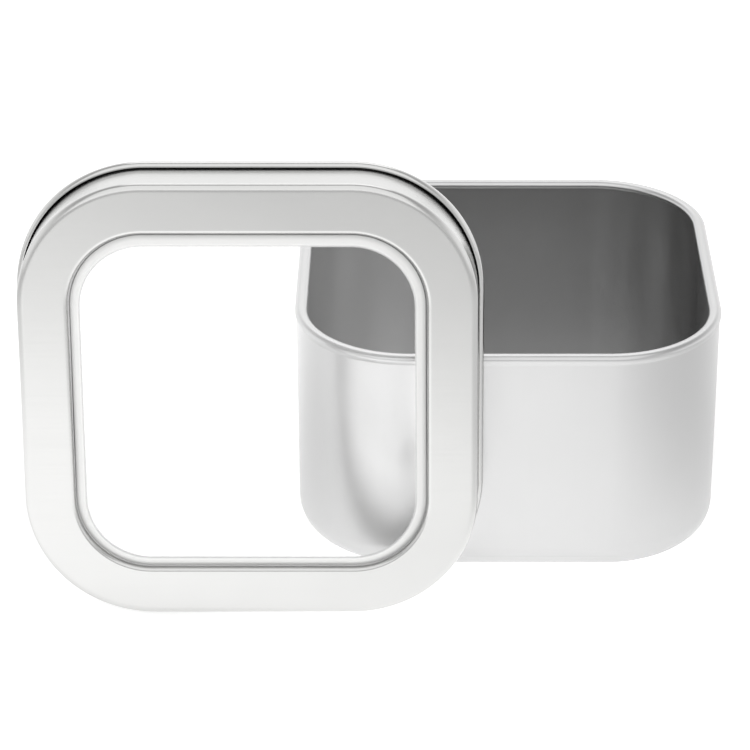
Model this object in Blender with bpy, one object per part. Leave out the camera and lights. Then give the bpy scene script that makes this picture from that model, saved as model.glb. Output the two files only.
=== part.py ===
"""Square tin with a slip-on window lid, standing open with the lid leaning on its front rim.

Every piece is thin sheet. Its section is drawn once, as the path of the middle of the sheet, and is
swept round a rounded square. All corners share one set of centres, so the pieces nest.
The tin stands at the origin on its flat bottom, its front towards -Y.
"""

import math

import bmesh
import bpy
from mathutils import Matrix, Vector

# Driving dimensions of the tin, in metres
TIN_WIDTH = 0.0603
TIN_HEIGHT = 0.0346
CORNER_RADIUS = 0.0164
SHEET = 0.00028
BASE_RADIUS = 0.0042
RIM_OVERHANG = 0.0002
RIM_BEAD_WIDTH = 0.0018
RIM_BEAD_HEIGHT = 0.0013
RIM_FLARE_HEIGHT = 0.0008

# Driving dimensions of the lid
LID_CLEARANCE = 0.0003
LID_DEPTH = 0.0090
LID_EDGE_RADIUS = 0.0009
LID_CURL_REACH = 0.00085
LID_CURL_HEIGHT = 0.0016
FACE_BORDER = 0.00678
OPENING_LIP = 0.0009
OPENING_EDGE_RADIUS = 0.0005

# Driving dimensions of the window
WINDOW_SHEET = 0.0003
WINDOW_CLEARANCE = 0.0003
WINDOW_SLOPE_RUN = 0.00135
WINDOW_BELOW_FACE = 0.0002
WINDOW_BEND_RADIUS = 0.0004

# How the lid leans in front of the tin
LID_LEAN = math.radians(7.5)
LID_SIDE_SHIFT = 0.0353
REST_GAP = 0.0003

# How far the rolled edges turn, and how finely curves are cut
RIM_ROLL = math.radians(250.0)
LID_ROLL = math.radians(277.0)
CORNER_STEPS = 10
BEND_STEPS = 5
ROLL_STEPS = 11
FLARE_STEPS = 3
SHARP_ANGLE = math.radians(40.0)

# Colours and finish of the two sheets
DRAWN_TINPLATE_COLOUR = (0.78, 0.78, 0.79)
DRAWN_TINPLATE_ROUGHNESS = 0.38
PRESSED_TINPLATE_COLOUR = (0.80, 0.80, 0.81)
PRESSED_TINPLATE_ROUGHNESS = 0.34
FILM_COLOUR = (0.95, 0.96, 0.97)
FILM_ROUGHNESS = 0.05
FILM_ALPHA = 0.25

# Sizes that follow from the driving ones, measured from the middle of the tin to a flat side
RIM_HALF = TIN_WIDTH / 2
CORNER_CENTRE = RIM_HALF - CORNER_RADIUS
WALL_MID = RIM_HALF - RIM_OVERHANG - SHEET / 2
LID_INNER = RIM_HALF + LID_CLEARANCE
LID_HALF = LID_INNER + SHEET
SKIRT_MID = LID_HALF - SHEET / 2
OPENING_HALF = LID_HALF - FACE_BORDER
WINDOW_EDGE = LID_INNER - WINDOW_CLEARANCE
SLOPE_FOOT = OPENING_HALF - WINDOW_CLEARANCE
PLATEAU_HALF = SLOPE_FOOT - WINDOW_SLOPE_RUN


def clear_scene():
    for thing in list(bpy.data.objects):
        bpy.data.objects.remove(thing, do_unlink=True)


def rounded_path(points, radius):
    """A path through the points, with each inner corner replaced by an arc of the radius."""
    path = [Vector(points[0])]
    for before, corner, after in zip(points, points[1:], points[2:]):
        corner = Vector(corner)
        back = (Vector(before) - corner).normalized()
        ahead = (Vector(after) - corner).normalized()
        half_angle = back.angle(ahead) / 2
        setback = radius / math.tan(half_angle)
        centre = corner + (back + ahead).normalized() * radius / math.sin(half_angle)
        start = corner + back * setback - centre
        turn = start.angle_signed(corner + ahead * setback - centre)
        for step in range(BEND_STEPS + 1):
            path.append(centre + Matrix.Rotation(-turn * step / BEND_STEPS, 2) @ start)
    path.append(Vector(points[-1]))
    return path


def roll_path(centre, half_width, half_height, first, turn):
    """Points round an upright ellipse, from the first angle through the turn."""
    angles = [first + turn * step / ROLL_STEPS for step in range(1, ROLL_STEPS + 1)]
    return [
        Vector((centre.x + half_width * math.cos(angle), centre.y + half_height * math.sin(angle)))
        for angle in angles
    ]


def both_sides(path, thickness):
    """The two faces of a sheet whose middle is the path: the right-hand face, then the left-hand one."""
    right = []
    left = []
    for index, point in enumerate(path):
        arriving = (point - path[max(index - 1, 0)]).normalized()
        leaving = (path[min(index + 1, len(path) - 1)] - point).normalized()
        along = (arriving + leaving).normalized()
        mitre = thickness / 2 / along.dot(leaving if leaving.length else arriving)
        outward = Vector((along.y, -along.x)) * mitre
        right.append(point + outward)
        left.append(point - outward)
    return right, left


def ring(mesh, distance, height):
    """One rounded square of vertices whose flat sides lie at the distance from the middle."""
    corner = distance - CORNER_CENTRE
    vertices = []
    for quarter in range(4):
        for step in range(CORNER_STEPS + 1):
            angle = math.pi / 2 * (quarter + step / CORNER_STEPS)
            middle = math.pi / 4 + math.pi / 2 * quarter
            x = math.copysign(CORNER_CENTRE, math.cos(middle)) + corner * math.cos(angle)
            y = math.copysign(CORNER_CENTRE, math.sin(middle)) + corner * math.sin(angle)
            vertices.append(mesh.verts.new((x, y, height)))
    return vertices


def swept_sheet(name, path, thickness, closed_middle, material, parent=None):
    """Sweep the sheet round the rounded square, with a panel across the middle or an opening there."""
    right, left = both_sides(path, thickness)
    mesh = bmesh.new()
    rings = [ring(mesh, point.x, point.y) for point in right + left[::-1]]
    pairs = list(zip(rings, rings[1:]))
    if closed_middle:
        mesh.faces.new(rings[0])
        mesh.faces.new(rings[-1])
    else:
        pairs.append((rings[-1], rings[0]))
    for lower, upper in pairs:
        for index in range(len(lower)):
            following = (index + 1) % len(lower)
            mesh.faces.new((lower[index], lower[following], upper[following], upper[index]))
    bmesh.ops.recalc_face_normals(mesh, faces=mesh.faces)
    data = bpy.data.meshes.new(name)
    mesh.to_mesh(data)
    mesh.free()
    data.shade_smooth()
    data.set_sharp_from_angle(angle=SHARP_ANGLE)
    data.materials.append(material)
    sheet = bpy.data.objects.new(name, data)
    sheet.parent = parent
    bpy.context.collection.objects.link(sheet)
    return sheet


def tinplate(name, colour, roughness):
    material = bpy.data.materials.new(name)
    material.use_nodes = True
    shader = material.node_tree.nodes["Principled BSDF"]
    shader.inputs["Base Color"].default_value = (*colour, 1.0)
    shader.inputs["Metallic"].default_value = 1.0
    shader.inputs["Roughness"].default_value = roughness
    return material


def clear_film(name):
    material = bpy.data.materials.new(name)
    material.use_nodes = True
    shader = material.node_tree.nodes["Principled BSDF"]
    shader.inputs["Base Color"].default_value = (*FILM_COLOUR, 1.0)
    shader.inputs["Roughness"].default_value = FILM_ROUGHNESS
    shader.inputs["Alpha"].default_value = FILM_ALPHA
    return material


def tin_section():
    """From the floor of the tin, round its bottom edge, up the wall and into the rolled rim."""
    floor = SHEET / 2
    bead_centre = Vector((RIM_HALF - RIM_BEAD_WIDTH / 2, TIN_HEIGHT - RIM_BEAD_HEIGHT / 2))
    flare_start = bead_centre.y - RIM_FLARE_HEIGHT
    panel_edge = WALL_MID - BASE_RADIUS
    path = rounded_path(
        [(panel_edge, floor), (WALL_MID, floor), (WALL_MID, flare_start)],
        BASE_RADIUS - SHEET / 2,
    )
    for step in range(1, FLARE_STEPS + 1):
        rise = step / FLARE_STEPS
        ease = (1 - math.cos(math.pi * rise)) / 2
        path.append(Vector((WALL_MID + RIM_OVERHANG * ease, flare_start + RIM_FLARE_HEIGHT * rise)))
    half_width = (RIM_BEAD_WIDTH - SHEET) / 2
    half_height = (RIM_BEAD_HEIGHT - SHEET) / 2
    return path + roll_path(bead_centre, half_width, half_height, 0.0, RIM_ROLL)


def lid_section():
    """From the turned-down edge of the opening, across the face, down the skirt and into the curl."""
    face = -SHEET / 2
    lip = OPENING_HALF + SHEET / 2
    border_middle = (OPENING_HALF + LID_HALF) / 2
    curl_centre = Vector((SKIRT_MID + LID_CURL_REACH / 2, LID_CURL_HEIGHT / 2 - LID_DEPTH))
    inner = rounded_path(
        [(lip, -OPENING_LIP), (lip, face), (border_middle, face)],
        OPENING_EDGE_RADIUS - SHEET / 2,
    )
    outer = rounded_path(
        [(border_middle, face), (SKIRT_MID, face), (SKIRT_MID, curl_centre.y)],
        LID_EDGE_RADIUS - SHEET / 2,
    )
    half_height = (LID_CURL_HEIGHT - SHEET) / 2
    curl = roll_path(curl_centre, LID_CURL_REACH / 2, half_height, math.pi, LID_ROLL)
    return inner[:-1] + outer[1:] + curl


def window_section():
    """From the raised middle, down the slope and out along the flange behind the face."""
    top = -WINDOW_BELOW_FACE - WINDOW_SHEET / 2
    flange = -OPENING_LIP - WINDOW_CLEARANCE - WINDOW_SHEET / 2
    bends = [
        (PLATEAU_HALF - WINDOW_SLOPE_RUN, top),
        (PLATEAU_HALF, top),
        (SLOPE_FOOT, flange),
        (WINDOW_EDGE, flange),
    ]
    return rounded_path(bends, WINDOW_BEND_RADIUS)


def lid_place():
    """The lid stands on the floor on its curl and leans on the tin's front rim, a rest gap away."""
    rise = math.cos(LID_LEAN)
    slant = math.sin(LID_LEAN)
    lid_faces = sum(both_sides(lid_section(), SHEET), [])
    tin_faces = sum(both_sides(tin_section(), SHEET), [])
    height = max(point.x * rise - point.y * slant for point in lid_faces)
    tin_front = min(-point.x * rise - point.y * slant for point in tin_faces)
    lid_back = tin_front - REST_GAP - LID_DEPTH
    forward = (lid_back + height * slant) / rise
    place = Matrix.Translation((-LID_SIDE_SHIFT, forward, height))
    return place @ Matrix.Rotation(math.pi / 2 - LID_LEAN, 4, "X")


def build():
    clear_scene()
    swept_sheet(
        "tin_body", tin_section(), SHEET, True,
        tinplate("satin_tinplate_drawn", DRAWN_TINPLATE_COLOUR, DRAWN_TINPLATE_ROUGHNESS),
    )
    lid_axis = bpy.data.objects.new("lid_axis", None)
    bpy.context.collection.objects.link(lid_axis)
    lid_axis.matrix_world = lid_place()
    swept_sheet(
        "lid_shell", lid_section(), SHEET, False,
        tinplate("satin_tinplate_pressed", PRESSED_TINPLATE_COLOUR, PRESSED_TINPLATE_ROUGHNESS),
        lid_axis,
    )
    swept_sheet(
        "window_insert", window_section(), WINDOW_SHEET, True,
        clear_film("clear_window_film"),
        lid_axis,
    )


build()
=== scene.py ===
# %% [markdown]
# # A square window tin, dressed for its picture
#
# The object is a small slip-lid tin. It is three sheets: a drawn tinplate can with its rim rolled inwards, a
# pressed tinplate lid with its skirt curled outwards, and a clear film window behind the lid's opening.
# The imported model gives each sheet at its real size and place. This script gives the same sheets their smooth
# curves and their finish, and then sets up the camera, the floor and the light.

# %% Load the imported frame
import math

import bmesh
import bpy
from mathutils import Matrix, Vector


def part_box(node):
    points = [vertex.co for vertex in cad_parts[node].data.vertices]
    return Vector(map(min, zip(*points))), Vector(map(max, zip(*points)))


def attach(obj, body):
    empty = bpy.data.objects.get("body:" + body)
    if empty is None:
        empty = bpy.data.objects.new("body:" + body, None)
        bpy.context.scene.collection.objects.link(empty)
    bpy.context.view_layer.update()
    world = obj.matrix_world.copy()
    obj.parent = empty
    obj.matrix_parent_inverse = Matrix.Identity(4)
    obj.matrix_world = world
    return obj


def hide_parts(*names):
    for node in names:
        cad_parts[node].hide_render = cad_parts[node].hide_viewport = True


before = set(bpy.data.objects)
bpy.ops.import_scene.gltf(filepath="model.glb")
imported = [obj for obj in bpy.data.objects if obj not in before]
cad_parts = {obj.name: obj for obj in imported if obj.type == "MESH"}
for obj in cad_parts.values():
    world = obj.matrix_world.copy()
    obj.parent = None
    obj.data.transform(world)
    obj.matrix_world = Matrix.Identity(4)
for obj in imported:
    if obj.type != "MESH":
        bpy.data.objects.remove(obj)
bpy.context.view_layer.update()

# %% [markdown]
# ## The camera
#
# The picture was taken from above and square to the front, with a long lens: upright edges stay almost
# upright, and the mouth of the tin is a shallow lozenge. A camera is fixed by where it aims, how far away it
# stands and how steeply it looks down. The lens then follows from how large the tin stands in the frame.
# The camera stands near the tin's middle, and its picture is shifted to take in the lid at the left, since
# turning the camera would put the front out of square.

# %% Place the camera
PICTURE_PIXELS = 750
SENSOR = 36.0
FOCAL_PIXELS = 3041.0
CAMERA_DISTANCE = 0.4506
CAMERA_PITCH = math.radians(27.68)
AIM = Vector((-0.012, 0.0, 0.0161))
SIDE_SHIFT_PIXELS = 48.1
NEAREST_SEEN = 0.01

camera = bpy.data.objects.new("camera", bpy.data.cameras.new("camera"))
bpy.context.scene.collection.objects.link(camera)
camera.data.sensor_width = SENSOR
camera.data.lens = SENSOR * FOCAL_PIXELS / PICTURE_PIXELS
camera.location = AIM + CAMERA_DISTANCE * Vector((0.0, -math.cos(CAMERA_PITCH), math.sin(CAMERA_PITCH)))
camera.rotation_euler = (math.pi / 2 - CAMERA_PITCH, 0.0, 0.0)
camera.data.shift_x = -SIDE_SHIFT_PIXELS / PICTURE_PIXELS
camera.data.clip_start = NEAREST_SEEN
bpy.context.scene.camera = camera
print("lens in mm:", round(camera.data.lens, 1))

# %% [markdown]
# ## Reading sizes from the frame
#
# The tin stands on the origin, so its box gives its half width and its height. The lid's width doesn't change
# when it leans, so its box gives that too. Only sheet thickness and radii have to be written down here.
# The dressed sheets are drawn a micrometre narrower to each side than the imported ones, so that rounding
# never takes them outside.

# %% Sizes shared by all three sheets
SHEET = 0.00028
CORNER_RADIUS = 0.0164
CLEARANCE = 0.0003
INSIDE = 0.000001

tin_low, tin_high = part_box("tin_body")
lid_low, lid_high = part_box("lid_shell")
RIM_HALF = (tin_high.x - tin_low.x) / 2 - INSIDE
TIN_HEIGHT = tin_high.z
CORNER_CENTRE = RIM_HALF - CORNER_RADIUS
print("rim half width and height in mm:", round(1000 * RIM_HALF, 2), round(1000 * TIN_HEIGHT, 2))

# %% [markdown]
# ## Drawing a section
#
# Sheet metal is easiest to draw as the line in the middle of the sheet. Each bend is an arc and each rolled
# edge is most of an ellipse. One extra point on both sides of every bend keeps the flat parts flat when the
# mesh is shaded smooth. The two faces of the sheet are then half a thickness to either side of the line.

# %% Helpers for sections
BEND_STEPS = 12
ROLL_STEPS = 40
SUPPORT = 0.00012


def rounded_path(points, radius):
    """A line through the points, with an arc of the radius at each inner corner."""
    path = [Vector(points[0])]
    for before, corner, after in zip(points, points[1:], points[2:]):
        corner = Vector(corner)
        back = (Vector(before) - corner).normalized()
        ahead = (Vector(after) - corner).normalized()
        half_angle = back.angle(ahead) / 2
        setback = radius / math.tan(half_angle)
        centre = corner + (back + ahead).normalized() * radius / math.sin(half_angle)
        start = corner + back * setback - centre
        turn = start.angle_signed(corner + ahead * setback - centre)
        path.append(corner + back * (setback + SUPPORT))
        for step in range(BEND_STEPS + 1):
            path.append(centre + Matrix.Rotation(-turn * step / BEND_STEPS, 2) @ start)
        path.append(corner + ahead * (setback + SUPPORT))
    path.append(Vector(points[-1]))
    return path


def roll_path(centre, half_width, half_height, first, turn):
    """Points round an upright ellipse, from the first angle through the turn."""
    angles = [first + turn * step / ROLL_STEPS for step in range(1, ROLL_STEPS + 1)]
    return [
        Vector((centre.x + half_width * math.cos(angle), centre.y + half_height * math.sin(angle)))
        for angle in angles
    ]


def sheet_outline(path, thickness):
    """Out along one face of the sheet and back along the other."""
    right = []
    left = []
    for index, point in enumerate(path):
        arriving = (point - path[max(index - 1, 0)]).normalized()
        leaving = (path[min(index + 1, len(path) - 1)] - point).normalized()
        along = (arriving + leaving).normalized()
        mitre = thickness / 2 / along.dot(leaving if leaving.length else arriving)
        outward = Vector((along.y, -along.x)) * mitre
        right.append(point + outward)
        left.append(point - outward)
    return right + left[::-1]


# %% [markdown]
# ## Sweeping a section with Geometry Nodes
#
# All three pieces follow one rule: a section carried round a square with rounded corners. Each could be
# modelled face by face, but then a change of size would mean three new models. Geometry Nodes keep the rule
# itself: a quadrilateral curve gets its corners from a fillet, and the section is swept along it.
# The sizes are inputs of the tree, so the three pieces share it.

# %% A helper for nodes


def add_node(tree, kind, values=None, links=None, **settings):
    """Add a node, set it up and link its inputs."""
    node = tree.nodes.new(kind)
    for name, value in settings.items():
        setattr(node, name, value)
    for socket, value in (values or {}).items():
        node.inputs[socket].default_value = value
    for socket, source in (links or {}).items():
        tree.links.new(source, node.inputs[socket])
    return node


# %% The sweep
CORNER_STEPS = 40


def sweep_tree():
    """Sweep the object's own curve round a rounded square."""
    tree = bpy.data.node_groups.new("sweep_round_a_rounded_square", "GeometryNodeTree")
    for name, kind in (
        ("Section", "Geometry"),
        ("Width", "Float"),
        ("Corner Radius", "Float"),
        ("Corner Steps", "Int"),
        ("Material", "Material"),
    ):
        tree.interface.new_socket(name, in_out="INPUT", socket_type="NodeSocket" + kind)
    tree.interface.new_socket("Sheet", in_out="OUTPUT", socket_type="NodeSocketGeometry")
    given = add_node(tree, "NodeGroupInput").outputs
    square = add_node(
        tree,
        "GeometryNodeCurvePrimitiveQuadrilateral",
        links={"Width": given["Width"], "Height": given["Width"]},
    )
    rounded = add_node(
        tree,
        "GeometryNodeFilletCurve",
        mode="POLY",
        links={"Curve": square.outputs[0], "Count": given["Corner Steps"], "Radius": given["Corner Radius"]},
    )
    upright = add_node(tree, "GeometryNodeSetCurveNormal", mode="Z_UP", links={"Curve": rounded.outputs[0]})
    swept = add_node(
        tree,
        "GeometryNodeCurveToMesh",
        links={"Curve": upright.outputs[0], "Profile Curve": given["Section"]},
    )
    real = add_node(tree, "GeometryNodeRealizeInstances", links={"Geometry": swept.outputs[0]})
    finished = add_node(
        tree,
        "GeometryNodeSetMaterial",
        links={"Geometry": real.outputs[0], "Material": given["Material"]},
    )
    add_node(tree, "NodeGroupOutput", links={"Sheet": finished.outputs[0]})
    return tree


SWEEP = sweep_tree()
print("the sweep has", len(SWEEP.nodes), "nodes")

# %% From a section to a piece
SHARP_ANGLE = math.radians(40.0)


def swept_sheet(name, path, thickness, has_panel, material, place):
    """A sheet swept round the square and put in its place, with its middle filled if it has a panel."""
    outline = sheet_outline(path, thickness)
    curve = bpy.data.curves.new(name + "_section", "CURVE")
    curve.dimensions = "3D"
    spline = curve.splines.new("POLY")
    spline.points.add(len(outline) - 1)
    spline.use_cyclic_u = not has_panel
    for point, (distance, height) in zip(spline.points, outline):
        point.co = (distance - RIM_HALF, -height, 0.0, 1.0)
    section = bpy.data.objects.new(name + "_section", curve)
    bpy.context.scene.collection.objects.link(section)
    sweep = section.modifiers.new("sweep", "NODES")
    sweep.node_group = SWEEP
    wanted = {
        "Width": 2 * RIM_HALF,
        "Corner Radius": CORNER_RADIUS,
        "Corner Steps": CORNER_STEPS,
        "Material": material,
    }
    for item in SWEEP.interface.items_tree:
        if item.name in wanted:
            sweep[item.identifier] = wanted[item.name]
    graph = bpy.context.evaluated_depsgraph_get()
    data = bpy.data.meshes.new_from_object(section.evaluated_get(graph))
    bpy.data.objects.remove(section)
    data.name = name
    close_and_smooth(data)
    data.transform(place)
    piece = bpy.data.objects.new(name, data)
    bpy.context.scene.collection.objects.link(piece)
    print(name, "has", len(data.polygons), "faces")
    return piece


def close_and_smooth(data):
    """Fill the panels across the middle, turn every face outwards and shade the sheet smooth."""
    mesh = bmesh.new()
    mesh.from_mesh(data)
    open_edges = [edge for edge in mesh.edges if edge.is_boundary]
    bmesh.ops.holes_fill(mesh, edges=open_edges)
    bmesh.ops.recalc_face_normals(mesh, faces=mesh.faces)
    mesh.to_mesh(data)
    mesh.free()
    data.shade_smooth()
    data.set_sharp_from_angle(angle=SHARP_ANGLE)


# %% [markdown]
# ## Satin tinplate
#
# Tinplate is steel with a thin coat of tin, rolled to a fine satin grain. The eye sees a soft, slightly warm
# grey mirror: reflections keep their place but lose their edges, and long faint streaks run with the grain.
# A noise stretched along the grain drives both the roughness and a very shallow bump, and a slow cloud
# shifts the colour a little. Real grain is under 0.05 mm wide, too fine to show at 7 pixels per mm, so it is
# drawn about 0.3 mm wide.

# %% Helpers for materials

# The two colours that a Mix node takes in and the one that it gives out
MIX_FROM, MIX_TO, MIX_RESULT = 6, 7, 2


def from_hex(colour):
    """The linear colour of an sRGB hex value."""
    parts = [int(colour[index:index + 2], 16) / 255 for index in (1, 3, 5)]
    linear = [part / 12.92 if part <= 0.04045 else ((part + 0.055) / 1.055) ** 2.4 for part in parts]
    return (*linear, 1.0)


def new_material(name):
    """A new material, its node tree and its Principled shader, already linked to the output."""
    material = bpy.data.materials.new(name)
    material.use_nodes = True
    return material, material.node_tree, material.node_tree.nodes["Principled BSDF"]


# %% Tinplate
GRAIN_WIDTH = 0.0003
GRAIN_LENGTH = 0.012
GRAIN_DETAIL = 3.0
GRAIN_RANGE = (0.3, 0.7)
GRAIN_HEIGHT = 0.0000015
GRAIN_STRENGTH = 0.5
ROUGHNESS_SPREAD = 0.02
CLOUD_SIZE = 0.018
CLOUD_DETAIL = 2.0


def tinplate(name, light, dark, roughness, grain_along, tilt=0.0):
    """Satin tinplate whose grain runs along one axis of the piece, tilted with the piece."""
    material, tree, shader = new_material(name)
    place = add_node(tree, "ShaderNodeTexCoord").outputs["Object"]
    upright = add_node(
        tree,
        "ShaderNodeMapping",
        links={"Vector": place},
        values={"Rotation": (-tilt, 0.0, 0.0)},
    )
    stretch = [1 / GRAIN_LENGTH if axis == grain_along else 1 / GRAIN_WIDTH for axis in "XYZ"]
    along = add_node(
        tree, "ShaderNodeMapping", links={"Vector": upright.outputs[0]}, values={"Scale": stretch}
    )
    grain = add_node(
        tree,
        "ShaderNodeTexNoise",
        links={"Vector": along.outputs[0]},
        values={"Scale": 1.0, "Detail": GRAIN_DETAIL},
    )
    cloud = add_node(
        tree,
        "ShaderNodeTexNoise",
        links={"Vector": upright.outputs[0]},
        values={"Scale": 1 / CLOUD_SIZE, "Detail": CLOUD_DETAIL},
    )
    shade = add_node(
        tree,
        "ShaderNodeMix",
        data_type="RGBA",
        links={"Factor": cloud.outputs["Fac"]},
        values={MIX_FROM: from_hex(dark), MIX_TO: from_hex(light)},
    )
    rough = add_node(
        tree,
        "ShaderNodeMapRange",
        links={"Value": grain.outputs["Fac"]},
        values={
            "From Min": GRAIN_RANGE[0],
            "From Max": GRAIN_RANGE[1],
            "To Min": roughness - ROUGHNESS_SPREAD,
            "To Max": roughness + ROUGHNESS_SPREAD,
        },
    )
    bump = add_node(
        tree,
        "ShaderNodeBump",
        links={"Height": grain.outputs["Fac"]},
        values={"Strength": GRAIN_STRENGTH, "Distance": GRAIN_HEIGHT},
    )
    shader.inputs["Metallic"].default_value = 1.0
    tree.links.new(shade.outputs[MIX_RESULT], shader.inputs["Base Color"])
    tree.links.new(rough.outputs[0], shader.inputs["Roughness"])
    tree.links.new(bump.outputs[0], shader.inputs["Normal"])
    return material


# %% [markdown]
# ## The can
#
# The can is drawn from one sheet, so it has no seam. From the middle its section is a flat floor, a round
# bottom edge, an upright wall, a small flare and a rim rolled inwards, which leaves no raw edge to touch.
# Its metal is a little rougher than the lid's, since drawing a deep wall dulls the sheet, and its grain runs
# up the wall, the way the sheet was pulled.

# %% Make the can
BASE_RADIUS = 0.0042
RIM_OVERHANG = 0.0002
RIM_BEAD_WIDTH = 0.0018
RIM_BEAD_HEIGHT = 0.0013
RIM_FLARE_HEIGHT = 0.0008
RIM_ROLL = math.radians(250.0)
FLARE_STEPS = 8
PANEL_MARGIN = 0.001
CAN_LIGHT = "#C1C1C1"
CAN_DARK = "#BBBBBB"
CAN_ROUGHNESS = 0.31

WALL_MID = RIM_HALF - RIM_OVERHANG - SHEET / 2


def can_path():
    """From the bottom, round its edge, up the wall and into the rolled rim."""
    bead = Vector((RIM_HALF - RIM_BEAD_WIDTH / 2, TIN_HEIGHT - RIM_BEAD_HEIGHT / 2))
    flare_start = bead.y - RIM_FLARE_HEIGHT
    bottom = SHEET / 2
    path = rounded_path(
        [(WALL_MID - BASE_RADIUS - PANEL_MARGIN, bottom), (WALL_MID, bottom), (WALL_MID, flare_start)],
        BASE_RADIUS - SHEET / 2,
    )
    for step in range(1, FLARE_STEPS + 1):
        rise = step / FLARE_STEPS
        ease = (1 - math.cos(math.pi * rise)) / 2
        path.append(Vector((WALL_MID + RIM_OVERHANG * ease, flare_start + RIM_FLARE_HEIGHT * rise)))
    half_width = (RIM_BEAD_WIDTH - SHEET) / 2
    half_height = (RIM_BEAD_HEIGHT - SHEET) / 2
    return path + roll_path(bead, half_width, half_height, 0.0, RIM_ROLL)


drawn_tinplate = tinplate("satin_tinplate_drawn", CAN_LIGHT, CAN_DARK, CAN_ROUGHNESS, "Z")
can = swept_sheet("can", can_path(), SHEET, True, drawn_tinplate, Matrix.Identity(4))

# %% [markdown]
# ## The lid
#
# The lid is one pressing. Its opening has a turned-down edge, its face is flat, its outer edge is tightly
# rounded, and the skirt ends in a curl that turns outwards. It is drawn lying down, with its face at height
# zero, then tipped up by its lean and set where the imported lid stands.

# %% The lid's section
LID_DEPTH = 0.0090
LID_EDGE_RADIUS = 0.00099
LID_CURL_REACH = 0.00085
LID_CURL_HEIGHT = 0.0016
LID_ROLL = math.radians(277.0)
FACE_BORDER = 0.00678
OPENING_LIP = 0.0009
OPENING_EDGE_RADIUS = 0.0005
SKIRT_STOPS = 6

LID_HALF = (lid_high.x - lid_low.x) / 2 - LID_CURL_REACH - INSIDE
SKIRT_MID = LID_HALF - SHEET / 2
OPENING_HALF = LID_HALF - FACE_BORDER
CURL = Vector((SKIRT_MID + LID_CURL_REACH / 2, LID_CURL_HEIGHT / 2 - LID_DEPTH))
CURL_HALF_HEIGHT = (LID_CURL_HEIGHT - SHEET) / 2
SKIRT_END = CURL.y + LID_CURL_HEIGHT
print("opening and skirt half widths in mm:", round(1000 * OPENING_HALF, 2), round(1000 * LID_HALF, 2))


def lid_path():
    """From the turned-down edge of the opening, across the face, down the skirt and into the curl."""
    face = -SHEET / 2
    lip = OPENING_HALF + SHEET / 2
    border_middle = (OPENING_HALF + LID_HALF) / 2
    inner = rounded_path(
        [(lip, -OPENING_LIP), (lip, face), (border_middle, face)], OPENING_EDGE_RADIUS - SHEET / 2
    )
    outer = rounded_path(
        [(border_middle, face), (SKIRT_MID, face), (SKIRT_MID, SKIRT_END)], LID_EDGE_RADIUS - SHEET / 2
    )
    skirt = [
        Vector((SKIRT_MID, CURL.y + LID_CURL_HEIGHT * step / SKIRT_STOPS)) for step in range(SKIRT_STOPS)
    ]
    roll = roll_path(CURL, LID_CURL_REACH / 2, CURL_HALF_HEIGHT, math.pi, LID_ROLL)
    return inner[:-1] + outer[1:] + skirt[::-1] + roll


# %% Make the lid
LID_LEAN = math.radians(7.5)
LID_LIGHT = "#C2C2C1"
LID_DARK = "#BCBCBB"
LID_ROUGHNESS = 0.22

TIPPED_UP = math.pi / 2 - LID_LEAN
LEAN_BACK = Matrix.Rotation(TIPPED_UP, 4, "X")


def lid_place():
    """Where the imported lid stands: the matrix that takes the lid from lying down to its place."""
    points = [
        LEAN_BACK @ Vector((0.0, side * distance, height))
        for distance, height in sheet_outline(lid_path(), SHEET)
        for side in (-1, 1)
    ]
    forward = lid_low.y - min(point.y for point in points)
    lift = lid_low.z - min(point.z for point in points)
    return Matrix.Translation(((lid_low.x + lid_high.x) / 2, forward, lift)) @ LEAN_BACK


pressed_tinplate = tinplate(
    "satin_tinplate_pressed", LID_LIGHT, LID_DARK, LID_ROUGHNESS, "X", tilt=TIPPED_UP
)
LID_PLACE = lid_place()
lid = swept_sheet("lid", lid_path(), SHEET, False, pressed_tinplate, LID_PLACE)

# %% [markdown]
# ## The fold behind the curl
#
# Where sheet is curled round a corner it has to shrink, so a press leaves the curl standing off the skirt
# there. Seen from the front it is the blackest line of the lid. Each point of the curl moves outwards by a
# share that is greatest in the middle of a corner. The points inside the fold are marked, and a painted shade
# darkens the tinplate's colour there, since hardly any light finds its way in and out again. Down the sides
# and at the foot the curl is rolled a little further, which shuts the fold, and the painted shade fades out,
# so no black line shows there.

# %% Where a point of the lid lies


def clamped(share):
    """The share, kept between nothing and the whole."""
    return max(0.0, min(1.0, share))


def round_the_square(point):
    """How far a point lies from the middle, and the share of the way round its corner."""
    over_x = max(abs(point.x) - CORNER_CENTRE, 0.0)
    over_y = max(abs(point.y) - CORNER_CENTRE, 0.0)
    return CORNER_CENTRE + math.hypot(over_x, over_y), math.atan2(over_y, over_x) / (math.pi / 2)


def points_to_mark(piece, name):
    """Each vertex of a piece, its mark of that name and its place before the lid is tipped up."""
    marks = piece.data.attributes.new(name, "FLOAT", "POINT")
    back = LID_PLACE.inverted()
    for vertex, mark in zip(piece.data.vertices, marks.data):
        yield vertex, mark, back @ vertex.co


# %% Shape the fold
CURL_STAND_OFF = 0.00009
STAND_OFF_POWER = 3
# How deep into the curl the painted shade reaches, where it fades out down the lid (which also sets where the
# curl rolls shut), and its share on a straight side
FOLD_DEPTH = 0.3
FOLD_FADE = (0.006, 0.016)
FOLD_ON_A_STRAIGHT = 0.75
SHUT_TURN = math.radians(25.0)
END_OF_THE_CURL = 1.02


def rolled_shut(across, upward, share):
    """A point of the curl after the share of the extra turn; the skirt above the curl stays."""
    angle = math.atan2(upward, across)
    progress = (angle - math.pi) % (2 * math.pi) / LID_ROLL
    if progress > END_OF_THE_CURL:
        return across, upward
    reach = math.hypot(across, upward)
    angle += SHUT_TURN * progress * share
    return reach * math.cos(angle), reach * math.sin(angle)


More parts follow.
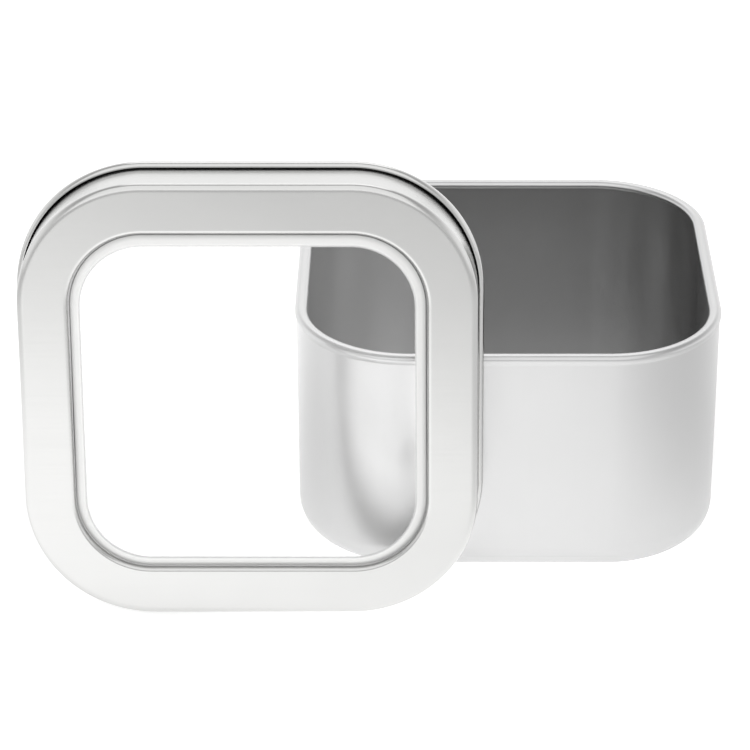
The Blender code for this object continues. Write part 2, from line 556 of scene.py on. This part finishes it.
def shape_the_fold(piece):
    """Mark the painted shade inside the fold, roll the curl shut low down and stand it off in the corners."""
    moved = 0
    for vertex, mark, lying in points_to_mark(piece, "painted_fold_shade"):
        distance, turn = round_the_square(lying)
        if distance < SKIRT_MID - SHEET or lying.z > SKIRT_END:
            continue
        across = (distance - CURL.x) / (LID_CURL_REACH / 2)
        upward = (lying.z - CURL.y) / CURL_HALF_HEIGHT
        corner = math.sin(math.pi * turn)
        upper = clamped((lying.y - FOLD_FADE[0]) / (FOLD_FADE[1] - FOLD_FADE[0]))
        depth = clamped((1.0 - math.hypot(across, upward)) / FOLD_DEPTH)
        # The mark is the share of painted shade at this point of the fold
        mark.value = upper * depth * (FOLD_ON_A_STRAIGHT + (1.0 - FOLD_ON_A_STRAIGHT) * corner)
        new_across, new_upward = rolled_shut(across, upward, 1.0 - upper)
        ease = clamped((distance - LID_HALF) / (CURL.x - LID_HALF))
        stand_off = CURL_STAND_OFF * ease * corner ** STAND_OFF_POWER
        shift = stand_off + (new_across - across) * LID_CURL_REACH / 2
        heading = math.pi / 2 * turn
        outward = Vector((
            math.copysign(math.cos(heading), lying.x), math.copysign(math.sin(heading), lying.y), 0.0
        ))
        lift = Vector((0.0, 0.0, (new_upward - upward) * CURL_HALF_HEIGHT))
        vertex.co = LID_PLACE @ (lying + outward * shift + lift)
        moved += 1
    print("points of the curl:", moved)


shape_the_fold(lid)

# %% Paint shade into the fold
# The colour of the painted shade inside the fold
FOLD_SHADE_COLOUR = "#141311"


def paint_the_fold_shade(material):
    """Paint shade into the tinplate's colour at the marked points of the fold."""
    tree = material.node_tree
    base = tree.nodes["Principled BSDF"].inputs["Base Color"]
    fold = add_node(tree, "ShaderNodeAttribute", attribute_name="painted_fold_shade").outputs["Fac"]
    darker = add_node(
        tree,
        "ShaderNodeMix",
        data_type="RGBA",
        links={"Factor": fold, MIX_FROM: base.links[0].from_socket},
        values={MIX_TO: from_hex(FOLD_SHADE_COLOUR)},
    )
    tree.links.new(darker.outputs[MIX_RESULT], base)


paint_the_fold_shade(pressed_tinplate)

# %% [markdown]
# ## The window
#
# The window is formed from clear film: heat and a mould raise a plateau that nearly fills the opening, and
# the flange round it lies behind the lid's face. Clear film is almost invisible head on. It shows where it
# slopes, because there it was stretched and it bends what lies behind it, so the slope is drawn milkier.
# A painted shade darkens the slope's foot, where the opening's lip shades it. The lip hangs over it at the top
# of the opening and hides it at the bottom, so the painted dark line moves a little up the slope at the top and
# fades at the bottom.

# %% The window's section
WINDOW_SHEET = 0.0003
WINDOW_SLOPE_RUN = 0.00135
WINDOW_BELOW_FACE = 0.0002
WINDOW_BEND_RADIUS = 0.0004
FOOT_GAP = 0.00014

SLOPE_FOOT = OPENING_HALF - FOOT_GAP
PLATEAU_HALF = SLOPE_FOOT - WINDOW_SLOPE_RUN
WINDOW_EDGE = LID_HALF - SHEET - CLEARANCE
print("window half width over its flange in mm:", round(1000 * WINDOW_EDGE, 2))


def window_path():
    """From the raised middle, down the slope and out along the flange behind the face."""
    top = -WINDOW_BELOW_FACE - WINDOW_SHEET / 2
    flange = -OPENING_LIP - CLEARANCE - WINDOW_SHEET / 2
    bends = [
        (PLATEAU_HALF - WINDOW_SLOPE_RUN, top),
        (PLATEAU_HALF, top),
        (SLOPE_FOOT, flange),
        (WINDOW_EDGE, flange),
    ]
    return rounded_path(bends, WINDOW_BEND_RADIUS)


# %% Clear film
FILM_IOR = 1.57
FILM_ROUGHNESS = (0.03, 0.10)
SMEAR_SCALE = 60.0
SMEAR_DETAIL = 3.0

# For each place down the slope: how much the film covers and its colour. The grey stop at the plateau's edge
# is a painted line where the film bends the light, the dark stops at the foot are painted shade from the
# opening's lip, and the last stop, on the flange under the lip, is a partly opaque grey, a painted mid shade
# for the groove
FILM_ALONG_THE_SLOPE = (
    (0.24, 0.06, "#FAFAFA"),
    (0.28, 0.80, "#BEBEBE"),
    (0.34, 0.90, "#E6E6E5"),
    (0.50, 0.90, "#F0F0EF"),
    (0.66, 0.90, "#E6E6E5"),
    (0.69, 0.90, "#747474"),
    (0.70, 0.90, "#6E6E6E"),
    (0.715, 0.60, "#DCDCDC"),
)


def set_ramp(node, stops):
    """Give a colour ramp its stops."""
    ramp = node.color_ramp
    for at, colour in stops[1:-1]:
        ramp.elements.new(at).color = colour
    ramp.elements[0].position, ramp.elements[0].color = stops[0]
    ramp.elements[-1].position, ramp.elements[-1].color = stops[-1]


def clear_film(name):
    """Clear film: a faint even haze on the flat parts, more of it on the stretched slope and a painted shade
    line at its foot.
    """
    material, tree, shader = new_material(name)
    place = add_node(tree, "ShaderNodeTexCoord").outputs["Object"]
    smear = add_node(
        tree,
        "ShaderNodeTexNoise",
        links={"Vector": place},
        values={"Scale": SMEAR_SCALE, "Detail": SMEAR_DETAIL},
    )
    gloss = add_node(
        tree,
        "ShaderNodeMapRange",
        links={"Value": smear.outputs["Fac"]},
        values={"To Min": FILM_ROUGHNESS[0], "To Max": FILM_ROUGHNESS[1]},
    )
    down = add_node(tree, "ShaderNodeAttribute", attribute_name="down_the_slope").outputs["Fac"]
    haze = add_node(tree, "ShaderNodeValToRGB", links={"Fac": down})
    colour = add_node(tree, "ShaderNodeValToRGB", links={"Fac": down})
    set_ramp(haze, [(at, (cover, cover, cover, 1.0)) for at, cover, _ in FILM_ALONG_THE_SLOPE])
    set_ramp(colour, [(at, from_hex(shade)) for at, _, shade in FILM_ALONG_THE_SLOPE])
    tree.links.new(colour.outputs[0], shader.inputs["Base Color"])
    shader.inputs["IOR"].default_value = FILM_IOR
    tree.links.new(gloss.outputs[0], shader.inputs["Roughness"])
    tree.links.new(haze.outputs[0], shader.inputs["Alpha"])
    return material


# %% Make the window
PLATEAU_MARK = 0.3
SLOPE_MARKS = 0.4
FOOT_SHADE_LINE = (0.66, 0.715)
LIP_SHADOW = 0.045


def mark_the_slope(piece):
    """Store how far down the slope each point lies, 0.3 at the plateau's edge and 0.7 at the foot, shifted so
    that the painted shade at the foot moves up at the top and fades at the bottom.
    """
    for _, mark, lying in points_to_mark(piece, "down_the_slope"):
        distance, _ = round_the_square(lying)
        share = PLATEAU_MARK + SLOPE_MARKS * (distance - PLATEAU_HALF) / WINDOW_SLOPE_RUN
        # Move the marks, and with them the painted shade at the foot, a little up the slope at the top of the
        # opening
        share += LIP_SHADOW * max(0.0, lying.y / OPENING_HALF)
        # At the bottom the painted dark line is squeezed back towards its start, so it fades
        if FOOT_SHADE_LINE[0] < share < FOOT_SHADE_LINE[1]:
            share -= (share - FOOT_SHADE_LINE[0]) * clamped(-lying.y / OPENING_HALF)
        mark.value = share


window = swept_sheet("window", window_path(), WINDOW_SHEET, True, clear_film("clear_window_film"), LID_PLACE)
mark_the_slope(window)

# %% [markdown]
# ## Joining the pieces to the frame
#
# Each piece rides on the body that its sheet belongs to and stands for the imported node of that sheet,
# which is hidden.

# %% Ride and replace
for piece, body, node, slot in (
    (can, "tin", "tin_body", "drawn_tinplate"),
    (lid, "lid", "lid_shell", "pressed_tinplate"),
    (window, "lid", "window_insert", "clear_film"),
):
    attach(piece, body)
    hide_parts(node)
    print(piece.name, "rides on", body)

# %% [markdown]
# ## The floor
#
# Satin metal looks like what stands round it, so the light is built from what each face mirrors. The lid's
# face and the can's wall mirror the white paper in front of them. A lamp over the paper would light it
# evenly, so the paper glows by itself, in soft pools that can be placed one by one. They fade a quarter of a
# metre in front of the tin, which gives the top of the lid its darker band. One pool takes light away, beside
# the can and behind the lid, where both shade the paper, and the can's left corner mirrors that. Behind the
# tin the glow rises, so the paper there stays white.

# %% Floor
FLOOR_HALF = 12.0
PAPER_COLOUR = "#F4F4F4"
PAPER_ROUGHNESS = 0.9
GLOW_COLOUR = "#FFFFFF"

floor_data = bpy.data.meshes.new("floor")
corners = [(x * FLOOR_HALF, y * FLOOR_HALF, 0.0) for x, y in ((-1, -1), (1, -1), (1, 1), (-1, 1))]
floor_data.from_pydata(corners, [], [(0, 1, 2, 3)])
floor = bpy.data.objects.new("floor", floor_data)
bpy.context.scene.collection.objects.link(floor)
paper, paper_tree, paper_shader = new_material("lit_white_paper")
paper_shader.inputs["Base Color"].default_value = from_hex(PAPER_COLOUR)
paper_shader.inputs["Roughness"].default_value = PAPER_ROUGHNESS
paper_shader.inputs["Emission Color"].default_value = from_hex(GLOW_COLOUR)
floor_data.materials.append(paper)

# %% Pools of light on the floor
MAIN_CENTRE = Vector((-0.08, -0.11, 0.0))
MAIN_SQUEEZE = Vector((1.4, 1.0, 1.0))
MAIN_NEAR = 0.04
MAIN_FAR = 0.24
MAIN_LEVEL = 0.76

# Centre on the floor, reach and level of each round pool: the first lights the foot of the can, the next two
# light the upper left of the lid's face, and the last one is the shade
ROUND_POOLS = (
    ((0.01, -0.03, 0.0), 0.06, 0.40),
    ((-0.13, -0.28, 0.0), 0.10, 0.35),
    ((-0.26, -0.42, 0.0), 0.26, 0.70),
    ((-0.068, -0.010, 0.0), 0.060, -0.52),
)
FLOOR_LEVEL = 0.05
BACK_LEVEL_RISE = 0.36
BACK_RISE = (-0.02, 0.10)

on_the_floor = add_node(paper_tree, "ShaderNodeTexCoord").outputs["Object"]
squeezed = add_node(
    paper_tree,
    "ShaderNodeMapping",
    links={"Vector": on_the_floor},
    values={"Location": -MAIN_CENTRE * MAIN_SQUEEZE, "Scale": MAIN_SQUEEZE},
)
from_main = add_node(paper_tree, "ShaderNodeVectorMath", operation="LENGTH", links={0: squeezed.outputs[0]})
pools = [(from_main.outputs["Value"], MAIN_NEAR, MAIN_FAR, MAIN_LEVEL, 0.0)]
for centre, reach, at_centre in ROUND_POOLS:
    away = add_node(
        paper_tree,
        "ShaderNodeVectorMath",
        operation="DISTANCE",
        links={0: on_the_floor},
        values={1: centre},
    )
    pools.append((away.outputs["Value"], 0.0, reach, at_centre, 0.0))
depth = add_node(paper_tree, "ShaderNodeSeparateXYZ", links={0: on_the_floor})
rise = (depth.outputs["Y"], *BACK_RISE, FLOOR_LEVEL, FLOOR_LEVEL + BACK_LEVEL_RISE)
level = None
for source, start, end, at_start, at_end in (*pools, rise):
    share = add_node(
        paper_tree,
        "ShaderNodeMapRange",
        interpolation_type="SMOOTHSTEP",
        links={"Value": source},
        values={"From Min": start, "From Max": end, "To Min": at_start, "To Max": at_end},
    ).outputs[0]
    if level is None:
        level = share
    else:
        both = add_node(paper_tree, "ShaderNodeMath", operation="ADD", links={0: level, 1: share})
        level = both.outputs[0]
paper_tree.links.new(level, paper_shader.inputs["Emission Strength"])
print("pools of light on the floor:", len(pools))

# %% [markdown]
# ## The sky
#
# The lid's skirt and its curl mirror the sky. It is brightest near the horizon at the back and at the sides,
# dimmer behind the camera and dimmest overhead. One flat white would light the metal evenly, and its bends
# would hardly show.

# %% Sky
SKY_LOW = 0.85
SKY_HIGH = 0.55
BACKDROP = 0.55
BACKDROP_FADE = (-0.9, -0.1)
HEIGHT_FADE = (0.25, 0.8)
SKY_COLOUR = "#FFFFFF"

world = bpy.data.worlds.new("studio")
bpy.context.scene.world = world
world.use_nodes = True
sky = world.node_tree
looking = add_node(sky, "ShaderNodeTexCoord").outputs["Generated"]
direction = add_node(sky, "ShaderNodeSeparateXYZ", links={0: looking})
behind = add_node(
    sky,
    "ShaderNodeMapRange",
    interpolation_type="SMOOTHSTEP",
    links={"Value": direction.outputs["Y"]},
    values={
        "From Min": BACKDROP_FADE[0],
        "From Max": BACKDROP_FADE[1],
        "To Min": SKY_LOW - SKY_HIGH,
        "To Max": SKY_LOW - SKY_HIGH + BACKDROP,
    },
)
low = add_node(
    sky,
    "ShaderNodeMapRange",
    interpolation_type="SMOOTHSTEP",
    links={"Value": direction.outputs["Z"]},
    values={"From Min": HEIGHT_FADE[0], "From Max": HEIGHT_FADE[1], "To Min": 1.0, "To Max": 0.0},
)
wall = add_node(sky, "ShaderNodeMath", operation="MULTIPLY", links={0: behind.outputs[0], 1: low.outputs[0]})
glow = add_node(sky, "ShaderNodeMath", operation="ADD", links={0: wall.outputs[0]}, values={1: SKY_HIGH})
sky.links.new(glow.outputs[0], sky.nodes["Background"].inputs["Strength"])
sky.nodes["Background"].inputs["Color"].default_value = from_hex(SKY_COLOUR)
print("sky overhead, low behind the camera and low at the back:", SKY_HIGH, SKY_LOW, SKY_LOW + BACKDROP)

# %% [markdown]
# ## The lamps
#
# One large soft box hangs over the front and a second one lights the paper at the back. Two thin strips
# between lid and tin hide the lid's dark back, which the can's wall would mirror. They light only the can,
# and they ride with the lid, so that no glow is left behind once it is lifted away.

# %% Lamps

# Where each lamp hangs, where it aims, its width and height in metres and its power in watts
LAMPS = {
    "top_lamp": ((-0.05, -0.26, 0.46), (-0.03, -0.03, 0.02), (0.70, 0.70), 1.35),
    "back_lamp": ((0.0, 0.42, 0.50), (0.0, 0.16, 0.0), (0.40, 0.40), 0.60),
    "gap_lamp": ((-0.0353, -0.0405, 0.0060), (-0.0353, 0.0, 0.0060), (0.056, 0.0110), 0.0022),
    "side_gap_lamp": ((-0.0092, -0.0384, 0.0210), (-0.0092, 0.0, 0.0160), (0.0085, 0.0190), 0.00058),
}


def soft_lamp(name, place, aim, size, power):
    """A soft box of a width and height at a place, turned to its aim."""
    lamp = bpy.data.objects.new(name, bpy.data.lights.new(name, "AREA"))
    lamp.data.shape = "RECTANGLE"
    lamp.data.size, lamp.data.size_y = size
    lamp.data.energy = power
    lamp.location = place
    lamp.rotation_euler = (Vector(aim) - Vector(place)).to_track_quat("-Z", "Y").to_euler()
    lamp.visible_camera = False
    bpy.context.scene.collection.objects.link(lamp)
    return lamp


lamps = {name: soft_lamp(name, *setting) for name, setting in LAMPS.items()}
lit_by_the_strips = bpy.data.collections.new("lit_by_the_strips")
lit_by_the_strips.objects.link(can)
for strip in (lamps["gap_lamp"], lamps["side_gap_lamp"]):
    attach(strip, "lid")
    strip.light_linking.receiver_collection = lit_by_the_strips
bpy.context.scene.view_settings.view_transform = "Standard"
print("lamps:", ", ".join(lamps))
